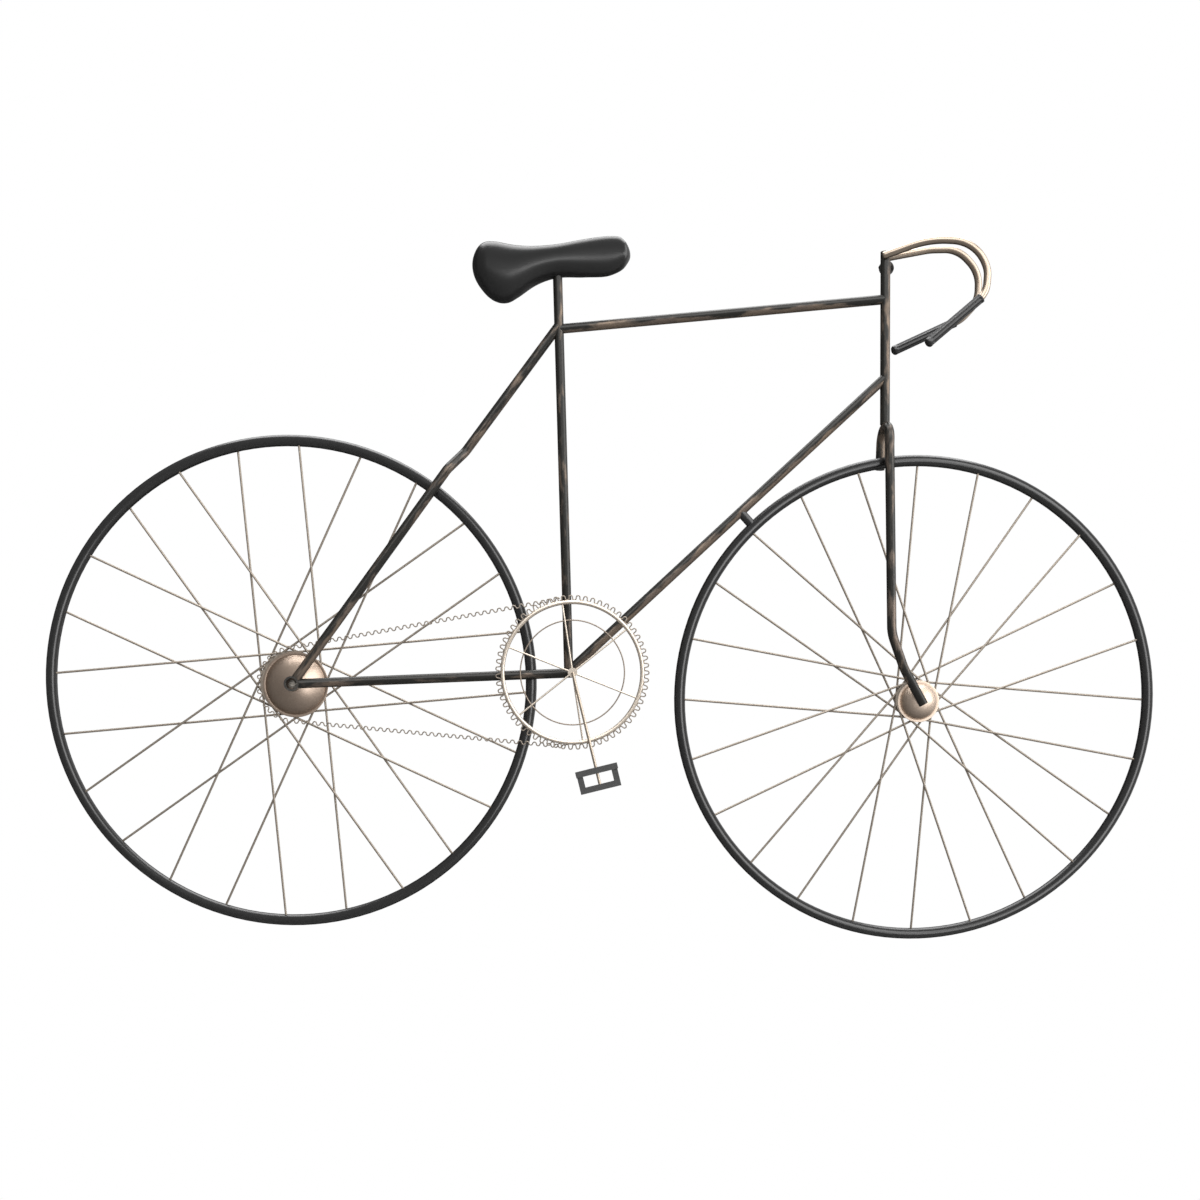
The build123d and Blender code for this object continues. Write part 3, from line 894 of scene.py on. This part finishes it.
@dataclass
class FrameRods:
    """The welded frame: every rod keeps its CAD form and gets the rubbed finish along it."""

    rods: tuple[Rod, ...] = (
        Rod(
            "head_tube", (522.5, 0.0, 398.0), (528.0, 0.0, 246.0), 0.22,
            ((0.0, 0.45), (0.3, 0.25), (0.5, 0.5), (0.7, 0.25), (1.0, 0.3)),
        ),
        Rod(
            "seat_tube", (248.7, 0.0, 14.0), (228.8, 0.0, 384.0), 0.0,
            ((0.0, 0.25), (0.3, 0.15), (0.5, 0.4), (0.62, 0.35), (0.8, 0.3), (1.0, 0.1)),
        ),
        Rod(
            "top_tube", (233.4, 0.0, 320.7), (523.4, 0.0, 356.4), -0.3,
            ((0, 0.2), (0.14, 0.6), (0.26, 0.15), (0.6, 0.15), (0.74, 0.6), (0.86, 0.1), (1, 0)),
        ),
        Rod(
            "down_tube", (250.5, 0.0, 18.8), (526.2, 0.0, 287.1), -0.4,
            ((0.0, 0.3), (0.3, 0.3), (0.5, 0.5), (0.65, 0.35), (0.8, 0.05), (1.0, 0.0)),
        ),
        Rod(
            "chain_stay", (248.5, -9.0, 15.2), (3.1, -22.0, -1.7), -0.05,
            ((0.0, 0.0), (0.35, 0.1), (0.6, 0.25), (1.0, 0.1)),
        ),
        Rod(
            "seat_stay", (151.0, -10.0, 209.8), (3.1, -22.0, -1.7), -0.1,
            ((0.0, 0.3), (0.22, 0.5), (0.4, 0.15), (0.7, 0.15), (0.9, 0.5), (1.0, 0.45)),
        ),
        Rod(
            "fork", (529.8, -14.2, 244.0), (549.3, -19.6, 10.0), 0.0,
            ((0, 0.5), (0.18, 0.3), (0.3, 0), (0.55, 0.1), (0.72, 0.5), (0.9, 0.2), (1, 0)),
        ),
    )

    def build(self, nodes: dict[str, Piece]) -> None:
        """Dresses each rod, with its number as the seed of its patches.

        Args:
            nodes: The CAD nodes, by name.
        """
        for number, rod in enumerate(self.rods, start=1):
            start, end = (
                tuple((np.array(place) + REAR_HUB) * MM) for place in (rod.start, rod.end)
            )
            name, seed = f"rubbed_bronze_{rod.name}", float(number)
            finish = RubbedRod(name, start, end, seed, rod.rubbed_along, rod.painted_lit_side)
            finish.dress(nodes[rod.name])
            log.info("%s dressed", rod.name)


@dataclass
class Wheels:
    """Two rod rings with wire spokes, and the spun caps over their hubs."""

    # The front cap's paler finish is painted light, a lighter copy of the rear cap's bronze.
    caps: tuple[tuple[str, Finish], ...] = (("rear", CAP_BRONZE), ("front", LIT_CAP_BRONZE_COPY))
    rim_width: float = 2.4
    rim_height: float = 0.2
    rim_foot: float = 0.001  # how far the rolled rim's feet stand in front of the flat back
    groove: float = 0.02  # how far the dome's foot stands in front of the flat back
    sheet: float = 1.5
    flange: float = 6.0
    edge: float = 0.12  # how much of each sharp corner is rounded off
    pole: float = 0.002  # the dome's first ring, as a share of its angle, which a face closes
    dome_points: int = 34
    rim_points: int = 16
    round_points: int = 120

    def cap_profile(self, radius: float, height: float) -> np.ndarray:
        """Half the cap's section, from its top round the rim and inside back to the axle.

        The dome is a ball's: its place is R - height - groove - sqrt(R^2 - r^2). The rolled rim
        is half an ellipse of rim_width and rim_height, and the groove is the step down to it.
        The hollow is the dome's own curve, scaled to lie a sheet's thickness inside.

        Args:
            radius: The cap's outer radius.
            height: The dome's height over its foot.

        Returns:
            Rows of distance from the axle and place along it, less than zero in front.
        """
        inner = radius - self.rim_width
        ball = (inner**2 + height**2) / (2 * height)
        tilt = math.asin(inner / ball) * np.linspace(self.pole, 1, self.dome_points)
        fall = ball * (1 - np.cos(tilt)) - height - self.groove
        dome = np.stack([ball * np.sin(tilt), fall], axis=1)
        a = np.linspace(1, 0, self.rim_points) * np.pi
        across = inner + self.rim_width * (0.5 + 0.5 * np.cos(a))
        rim = np.stack([across, -self.rim_height * np.sin(a) - self.rim_foot], axis=1)
        back = radius - self.rim_width - self.sheet
        mouth = back - self.flange
        corners = np.array([[radius, 0], [mouth, 0], [mouth, -self.sheet]])
        ease = self.edge * np.array([[-1, 0], [1, 0], [0, -1]])
        flat = np.stack([corners, corners + ease], axis=1).reshape(-1, 2)
        thinner = [back / inner, (height - self.sheet) / height]
        hollow = dome[::-1] * thinner - [0, self.sheet * 0.5]
        return np.concatenate([dome, rim, flat, hollow])

    def build_cap(self, wheel: str, finish: Finish) -> None:
        """A spun cap: its section turned about the wheel's axle.

        Args:
            wheel: rear or front.
            finish: The cap's finish.
        """
        low, high = in_mm(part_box(f"{wheel}_hub_cap"))
        centre = (low + high) / 2
        profile = self.cap_profile((high[0] - low[0]) / 2, high[1] - low[1] - self.groove)
        turn = np.linspace(0, 2 * np.pi, self.round_points, endpoint=False)
        r, y = profile[:, :1], profile[:, 1:]
        x, z = centre[0] + r * np.cos(turn), centre[2] + r * np.sin(turn)
        rings = np.stack([x, np.broadcast_to(high[1] + y, x.shape), z], axis=2)
        ride(skin(f"{wheel}_spun_cap", rings), finish, Slot.HUB, f"{wheel}_hub_cap")

    def build(self, nodes: dict[str, Piece]) -> None:
        """Makes both caps, and dresses the wheels and the rear axle's tube and screw.

        Args:
            nodes: The CAD nodes, by name.
        """
        for wheel, finish in self.caps:
            BLACK_ENAMEL.dress(nodes[f"{wheel}_tyre"])
            TAUPE_WIRE.dress(nodes[f"{wheel}_spokes"])
            self.build_cap(wheel, finish)
        BLACK_ENAMEL.dress(nodes["tyre_stub"])
        WORN_ENAMEL.dress(nodes["axle_tube"])
        SCREW_ZINC.dress(nodes["axle_screw"])


@dataclass(frozen=True)
class Route:
    """One bar's route."""

    side: str  # near or far
    corners: tuple[Point, ...]  # from the rear wheel's centre
    bends: tuple[float, ...]  # a radius for each inner corner


@dataclass
class Handlebars:
    """Two bent bars from the head tube's top, each with a fluted rubber grip."""

    bar_radius: float = 3.3
    sides: int = 32
    step: float = 1.5
    routes: tuple[Route, ...] = (
        Route(
            "near",
            (
                (520.4, -5.0, 393.3), (557.5, -18.0, 404.8), (597.3, -24.5, 402.0),
                (608.3, -25.8, 377.2), (607.5, -26.0, 357.0), (558.3, -26.0, 313.1),
            ),
            (84.0, 33.0, 24.5, 22.0),
        ),
        Route(
            "far",
            (
                (522.6, 2.0, 393.3), (564.0, 7.0, 403.7), (590.5, 10.5, 406.2),
                (610.7, 11.5, 386.8), (611.2, 12.0, 361.5), (596.5, 12.0, 344.5),
                (537.0, 12.0, 315.1),
            ),
            (74.0, 27.5, 28.5, 25.0, 28.0),
        ),
    )
    grip_radius: float = 4.3
    grip_length: float = 60.0
    grip_sides: int = 128
    cap_length: float = 3.0
    cap_rings: int = 9
    cap_tip: float = 0.02  # the domed end's first ring, as a share of the radius
    flutes: int = 8
    flute_depth: float = 0.75
    flute_start: float = 0.8
    flute_run_in: float = 2.5
    flute_run_out: float = 1.5
    collar: float = 1.0

    def build_bar(self, side: str, corners: np.ndarray, bends: tuple[float, ...]) -> None:
        """One bent bar, along the same route as its CAD rod.

        Args:
            side: near or far.
            corners: The route's corners, one row each.
            bends: A radius for each inner corner.
        """
        line = bent_line(corners, bends, self.step)
        bar = tube(f"bar_{side}", line, self.bar_radius, self.sides, TO_WALL)
        ride(bar, BRUSHED_CHAMPAGNE, Slot.CHAMPAGNE, f"handlebar_{side}")

    def build_grip(self, side: str, tip: np.ndarray, knee: np.ndarray) -> None:
        """A rubber grip whose round is cut by flutes between a plain collar and a domed end.

        The radius at length s and angle a is R - depth * fade(s) * cos(flutes * a / 2) ^ 2,
        and over the domed end it falls with the root of one minus the share squared.

        Args:
            side: near or far.
            tip: The grip's free end.
            knee: The bend that it points at.
        """
        ahead = unit(knee - tip)
        across = unit(np.cross(ahead, TO_WALL))
        up = np.cross(ahead, across)
        dome = -self.cap_length * np.cos(np.linspace(0, 0.5, self.cap_rings) * np.pi)
        # Rings from, to and how many: they stand closest where the flutes begin and end.
        length = self.grip_length
        rows = ((0.4, 4.0, 8), (6.0, length - 3.0, 14), (length - 2.5, length, 6))
        s = np.concatenate([dome, *(np.linspace(*row) for row in rows)])
        scale = np.sqrt(np.clip(1 - (s / self.cap_length) ** 2, self.cap_tip**2, 1))
        scale = np.where(s < 0, scale, 1.0)
        fade = np.clip((s - self.flute_start) / self.flute_run_in, 0, 1)
        fade = fade * np.clip((length - self.collar - s) / self.flute_run_out, 0, 1)
        a = np.linspace(0, 2 * np.pi, self.grip_sides, endpoint=False)
        dip = self.flute_depth * np.cos(self.flutes * a / 2) ** 2
        radius = self.grip_radius * scale[:, None] - fade[:, None] * dip[None, :]
        spread = across * np.cos(a)[:, None] + up * np.sin(a)[:, None]
        rings = tip + ahead * s[:, None, None] + radius[:, :, None] * spread[None]
        mouth = tip + ahead * s[-1] + self.bar_radius * spread
        grip = skin(f"fluted_{side}_grip", np.concatenate([rings, mouth[None]]))
        ride(grip, GRIP_RUBBER, Slot.GRIP, f"grip_{side}")

    def build(self) -> None:
        """Makes both bars and grips."""
        for route in self.routes:
            corners = np.array(route.corners) + REAR_HUB
            self.build_bar(route.side, corners, route.bends)
            self.build_grip(route.side, corners[-1], corners[-2])


@dataclass
class Drive:
    """Chainring, its toothed wire, the wavy chain, the crank and the pedal.

    One kind of wave serves teeth and chain. Its direction swings about the line that it follows
    by swing * (cos(phase) + flat * cos(3 * phase)), which gives crests with a flat and steep sides.
    """

    teeth: int = 63
    tooth_radius: float = 66.4
    tooth_half_height: float = 2.05
    tooth_swing: float = 1.3
    chain_pitches: int = 89
    chain_hub_radius: float = 33.0
    chain_hub_y: float = -5.6
    chain_ring_y: float = -17.2
    chain_half_height: float = 1.45
    chain_swing: float = 1.1
    flat: float = 0.12
    wire_radius: float = 0.55
    samples: int = 20
    wire_sides: int = 8

    def wave(self, pitches: int, half_height: float, swing: float) -> tuple[np.ndarray, np.ndarray]:
        """The wave over a number of pitches.

        The path's slope is summed over one pitch and scaled so that a pitch is one long and
        the crests are half_height out.

        Args:
            pitches: How many pitches.
            half_height: The crests' height above the line, in millimetres.
            swing: How far the direction swings, in radians.

        Returns:
            The place along the line in pitches, and the height above it in millimetres.
        """
        phase = np.linspace(0, 2 * np.pi, self.samples, endpoint=False) + np.pi / self.samples
        slope = swing * (np.cos(phase) + self.flat * np.cos(3 * phase))
        along, height = (np.concatenate([[0], np.cumsum(part(slope))]) for part in (np.cos, np.sin))
        height -= (height.max() + height.min()) / 2
        height *= half_height / height.max()
        along /= along[-1]
        count = np.arange(pitches)[:, None]
        return (count + along[None, :-1]).ravel(), np.tile(height[:-1], pitches)

    def build_teeth(self, centre: np.ndarray, y: float) -> None:
        """The wave wire bent round the chainring: its height is added to the ring's radius.

        Args:
            centre: The chainring's middle.
            y: The wire's place in depth.
        """
        along, height = self.wave(self.teeth, self.tooth_half_height, self.tooth_swing)
        angle = 2 * np.pi * along / self.teeth
        radius = self.tooth_radius + height
        x, z = centre[0] + radius * np.cos(angle), centre[2] + radius * np.sin(angle)
        line = np.stack([x, np.full_like(angle, y), z], axis=1)
        teeth = tube("toothed_wire", line, self.wire_radius, self.wire_sides, TO_WALL, closed=True)
        ride(teeth, TAUPE_WIRE, Slot.WIRE, "chainring_teeth")

    def build_chain(self, ring: np.ndarray, hub: np.ndarray) -> None:
        """The wave wire from the teeth round the rear hub and back, in one leaning plane.

        Two circles, of tooth_radius and chain_hub_radius, are joined by their outer tangents.
        The wire runs in along one, round the hub's circle and out along the other.

        Args:
            ring: The chainring's middle.
            hub: The rear hub's middle.
        """
        slope = (self.chain_ring_y - self.chain_hub_y) / (ring[0] - hub[0])
        lean = math.hypot(1, slope)
        away = np.array([(ring[0] - hub[0]) * lean, ring[2] - hub[2]])
        length = float(np.hypot(*away))
        spread = math.asin((self.tooth_radius - self.chain_hub_radius) / length)
        run = length * math.cos(spread)
        upper = math.atan2(away[1], away[0]) + math.pi / 2 + spread
        wrap = math.pi - 2 * spread
        whole = 2 * run + self.chain_hub_radius * wrap
        along, height = self.wave(self.chain_pitches, self.chain_half_height, self.chain_swing)
        gone = along * whole / self.chain_pitches
        on_hub = np.clip(gone - run, 0, self.chain_hub_radius * wrap)
        angle = upper + on_hub / self.chain_hub_radius
        side = np.stack([np.cos(angle), np.sin(angle)], axis=1)
        forward = np.stack([-np.sin(angle), np.cos(angle)], axis=1)
        before = np.minimum(gone - run, 0)[:, None]
        after = np.maximum(gone - run - self.chain_hub_radius * wrap, 0)[:, None]
        flat = side * (self.chain_hub_radius + height[:, None]) + forward * (before + after)
        x = hub[0] + flat[:, 0] / lean
        y = self.chain_hub_y + REAR_HUB[1] + flat[:, 0] / lean * slope
        line = np.stack([x, y, hub[2] + flat[:, 1]], axis=1)
        across = np.array([slope, -1.0, 0.0])
        chain = tube("wavy_chain", line, self.wire_radius, self.wire_sides, across)
        ride(chain, TAUPE_WIRE, Slot.WIRE, "chain")

    def build(self, nodes: dict[str, Piece]) -> None:
        """Makes the wave wires and dresses the rest.

        Args:
            nodes: The CAD nodes, by name.
        """
        ring = middle_of(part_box("chainring"))
        self.build_teeth(ring, middle_of(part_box("chainring_teeth"))[1])
        self.build_chain(ring, middle_of(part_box("rear_hub_cap")))
        for name in ("chainring", "chainring_arms"):
            RING_PLATE.dress(nodes[name])
        CRANK_PLATE.dress(nodes["crank"])
        INNER_WIRE.dress(nodes["chainring_inner_ring"])
        BLACK_ENAMEL.dress(nodes["bottom_bracket_pin"])
        PEDAL_STEEL.dress(nodes["pedal"])


@dataclass
class Saddle:
    """The padded saddle: leathercloth pulled tight over foam, full at the rear and slim ahead.

    It has the form of its side outline, thickened across, and its section is rounded all round.
    The outline's rows are the place along the length from the rear wheel's centre, and the
    height there.
    """

    rear_x: float = 153.8
    nose_x: float = 294.1
    top: Pairs = (
        (153.8, 374.0), (155.7, 382.6), (157.9, 386.9), (161.4, 390.6), (164.9, 392.5),
        (172.8, 393.3), (192.3, 390.9), (202.9, 390.5), (224.1, 392.4), (252.3, 398.6),
        (266.4, 401.3), (278.8, 402.4), (284.2, 401.8), (288.7, 398.4), (292.4, 392.6),
        (294.1, 385.9),
    )
    bottom: Pairs = (
        (153.8, 374.0), (155.0, 366.2), (158.1, 359.3), (162.7, 353.0), (169.1, 346.6),
        (175.4, 343.0), (181.7, 341.8), (187.9, 342.9), (194.9, 347.2), (210.7, 358.5),
        (219.6, 362.7), (226.7, 364.9), (253.4, 366.7), (274.8, 368.5), (281.9, 371.2),
        (288.1, 375.2), (292.1, 380.6), (294.1, 385.9),
    )
    half_width: tuple[float, float] = (18.7, 10.4)  # rear and nose
    slims_over: tuple[float, float] = (160.0, 288.0)  # the places between which it slims
    rear_round: float = 13.0  # rounding in plan
    nose_round: float = 6.5
    top_power: float = 2.7  # of the section over its middle: two is an ellipse, more is boxier
    bottom_power: float = 2.2  # the same under its middle
    rows: int = 110
    half_columns: int = 36
    end_turn: float = 0.015  # radians from each end at which the first and last rows stand

    def line(self, stations: Pairs, x: np.ndarray) -> np.ndarray:
        """A smooth line through the stations: each piece is a cubic that keeps their slopes.

        The places are turned into the angle whose cosine is the place along the length, so that
        the round ends have finite slopes.

        Args:
            stations: Places along the length, each with its height.
            x: Where the line is wanted.

        Returns:
            The line's height at each x.
        """
        xs, zs = np.array(stations).T
        length = self.nose_x - self.rear_x
        t, ts = (np.arccos(np.clip(1 - 2 * (v - self.rear_x) / length, -1, 1)) for v in (x, xs))
        slopes = np.gradient(zs, ts)
        k = np.clip(np.searchsorted(ts, t, side="right") - 1, 0, len(ts) - 2)
        gap = ts[k + 1] - ts[k]
        u = (t - ts[k]) / gap
        keep, lean = 2 * u**3 - 3 * u**2 + 1, u**3 - 2 * u**2 + u
        return (
            keep * zs[k]
            + lean * gap * slopes[k]
            + (1 - keep) * zs[k + 1]
            + (u**3 - u**2) * gap * slopes[k + 1]
        )

    def build(self) -> None:
        """Makes the pad.

        Its section is a rounded box: at a share s of the half height from the middle, the half
        thickness is width * (1 - s ^ p) ^ (1 / p), with a higher power p over the middle than
        under it. The width goes from the rear's to the nose's by 3 t ^ 2 - 2 t ^ 3, where t is
        the share of slims_over, and it is rounded off towards both ends.
        """
        turn = np.linspace(self.end_turn, np.pi - self.end_turn, self.rows)
        x = self.rear_x + (self.nose_x - self.rear_x) * (1 - np.cos(turn)) / 2
        top, bottom = self.line(self.top, x)[:, None], self.line(self.bottom, x)[:, None]
        share = (1 - np.cos(np.linspace(0, np.pi, self.half_columns)))[None, :] / 2
        depth = (top - bottom) * share
        t = np.clip(np.interp(x, self.slims_over, (0.0, 1.0)), 0, 1)
        width = np.interp(3 * t**2 - 2 * t**3, (0.0, 1.0), self.half_width)
        rear, nose = (x - self.rear_x) / self.rear_round, (self.nose_x - x) / self.nose_round
        width *= soft(rear) * soft(nose)
        power = np.where(share < 0.5, self.top_power, self.bottom_power)
        y = width[:, None] * (1 - np.abs(2 * share - 1) ** power) ** (1 / power)
        z = top - depth
        round_y = np.concatenate([-y, y[:, -2:0:-1]], axis=1)
        round_z = np.concatenate([z, z[:, -2:0:-1]], axis=1)
        rings = np.stack([np.broadcast_to(x[:, None], round_y.shape), round_y, round_z], axis=2)
        pad = skin("saddle_pad", rings + REAR_HUB)
        ride(pad, SADDLE_LEATHER, Slot.SADDLE, "saddle")


def dress_eyes(nodes: dict[str, Piece]) -> None:
    """Gives the two hanging eyes their black enamel."""
    for name in ("head_eye", "saddle_eye"):
        BLACK_ENAMEL.dress(nodes[name])


def main() -> None:
    logging.basicConfig(level=logging.INFO, format="%(name)s: %(message)s")
    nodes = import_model()["nodes"]
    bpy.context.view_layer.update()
    studio = Studio()
    studio.build()
    FrameRods().build(nodes)
    Wheels().build(nodes)
    Handlebars().build()
    Drive().build(nodes)
    Saddle().build()
    dress_eyes(nodes)
    studio.flag_lamps()


if __name__ == "__main__":
    main()
